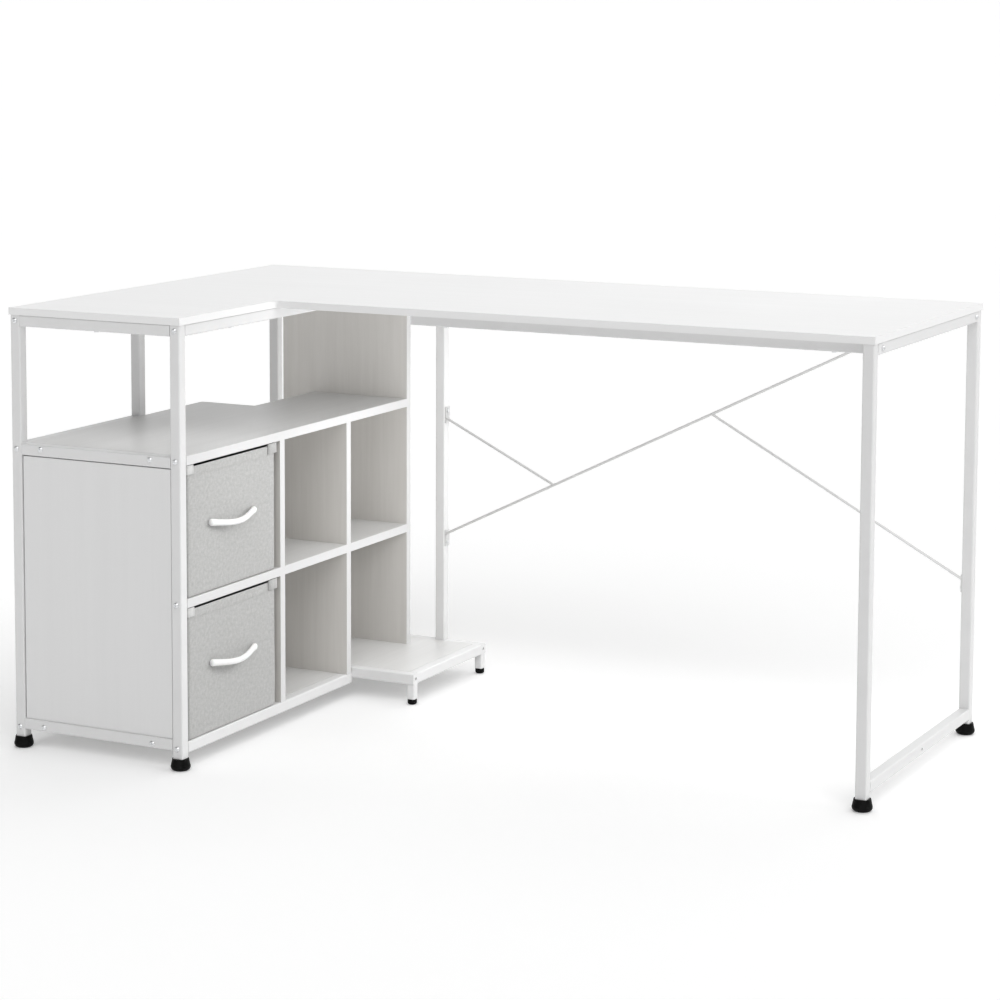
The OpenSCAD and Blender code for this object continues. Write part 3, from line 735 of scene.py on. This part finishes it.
def make_world(lobes):
    """Soft studio light: broad bright sides, each a (strength, direction, power).

    The camera itself sees plain white past the floor.
    """
    world = bpy.data.worlds.new("studio")
    world.use_nodes = True
    bpy.context.scene.world = world
    tree = world.node_tree
    background = tree.nodes["Background"]
    background.inputs["Color"].default_value = (1, 1, 1, 1)
    coordinates = tree.nodes.new("ShaderNodeTexCoord")

    def calculate(operation, *values):
        node = tree.nodes.new("ShaderNodeMath")
        node.operation = operation
        for socket, value in zip(node.inputs, values):
            if isinstance(value, (int, float)):
                socket.default_value = value
            else:
                tree.links.new(value, socket)
        return node.outputs[0]

    level = 0.0
    for strength, way, power in lobes:
        along = tree.nodes.new("ShaderNodeVectorMath")
        along.operation = "DOT_PRODUCT"
        along.inputs[1].default_value = way.normalized()
        tree.links.new(coordinates.outputs["Generated"], along.inputs[0])
        facing = calculate("MAXIMUM", along.outputs["Value"], 0.0)
        level = calculate("MULTIPLY_ADD", calculate("POWER", facing, power), strength, level)
    path = tree.nodes.new("ShaderNodeLightPath")
    level = calculate("MAXIMUM", level, path.outputs["Is Camera Ray"])
    tree.links.new(level, background.inputs["Strength"])


def add_lamp(name, lamp, turn):
    holder = bpy.data.objects.new(name, lamp)
    bpy.context.scene.collection.objects.link(holder)
    holder.rotation_mode = "QUATERNION"
    holder.rotation_quaternion = turn
    return holder


def light_all_but(spared, lamp):
    """Let the lamp light every piece but the spared ones."""
    lit = bpy.data.collections.new("lit_by_" + lamp.name)
    for piece in bpy.data.objects:
        if piece.type == "MESH" and piece.name not in spared:
            lit.objects.link(piece)
    lamp.light_linking.receiver_collection = lit


def make_sun(name, source, strength, softness, spared=()):
    """A distant lamp in the direction of its source, softened over some degrees."""
    lamp = bpy.data.lights.new(name, "SUN")
    lamp.energy = strength
    lamp.angle = math.radians(softness)
    sun = add_lamp(name, lamp, source.to_track_quat("Z", "Y"))
    if spared:
        light_all_but(spared, sun)


def make_fill(place, aim, wide, tall, power):
    """A soft panel in the knee space that lights the cubbies. The camera doesn't see it."""
    lamp = bpy.data.lights.new("fill", "AREA")
    lamp.shape = "RECTANGLE"
    lamp.size = wide
    lamp.size_y = tall
    lamp.energy = power
    panel = add_lamp("fill", lamp, aim.to_track_quat("-Z", "Y"))
    panel.location = place
    panel.visible_camera = False
    panel.visible_glossy = False
    light_all_but({"floor"} | RODS, panel)


# The camera was fitted to the corners, edges and feet of the desk in the photograph.
CAMERA_PLACE = Vector((2.1283, -4.2680, 1.2704))
CAMERA_YAW = -0.4807
CAMERA_PITCH = -0.1079
CAMERA_ROLL = 0.0024
CAMERA_LENS_MM = 103.13
CAMERA_SHIFT = (0.0505, -0.2004)


def make_camera():
    flat = math.cos(CAMERA_PITCH)
    ahead = Vector((math.sin(CAMERA_YAW) * flat, math.cos(CAMERA_YAW) * flat,
                    math.sin(CAMERA_PITCH)))
    level = Vector((math.cos(CAMERA_YAW), -math.sin(CAMERA_YAW), 0.0))
    above = level.cross(ahead)
    right = level * math.cos(CAMERA_ROLL) + above * math.sin(CAMERA_ROLL)
    up = above * math.cos(CAMERA_ROLL) - level * math.sin(CAMERA_ROLL)
    lens = bpy.data.cameras.new("camera")
    lens.sensor_width = 36.0
    lens.lens = CAMERA_LENS_MM
    lens.shift_x, lens.shift_y = CAMERA_SHIFT
    lens.clip_start, lens.clip_end = 0.05, 2000.0
    camera = bpy.data.objects.new("camera", lens)
    bpy.context.scene.collection.objects.link(camera)
    turn = Matrix((right, up, -ahead)).transposed().to_4x4()
    camera.matrix_world = Matrix.Translation(CAMERA_PLACE) @ turn
    bpy.context.scene.camera = camera


SIDE = Vector((0.8, 0.1, 0.6))
make_floor()
make_world([(1.37, Vector((0, 1, 0.25)), 2.2), (0.75, Vector((0, -1, 0.25)), 3.0)])
make_sun("side_all", SIDE, 0.38, softness=30)
make_sun("side_desk", SIDE, 0.86, softness=30, spared={"floor"})
make_sun("front", Vector((0.4, -0.6, 0.7)), 1.05, softness=40)
make_sun("top", Vector((0.05, 0.3, 0.95)), 0.62, softness=60)
make_fill(Vector((0.05, 0.12, 0.53)), Vector((-1, 0, -0.6)), wide=0.5, tall=0.2, power=1.7)
make_camera()
bpy.context.scene.view_settings.view_transform = "Standard"
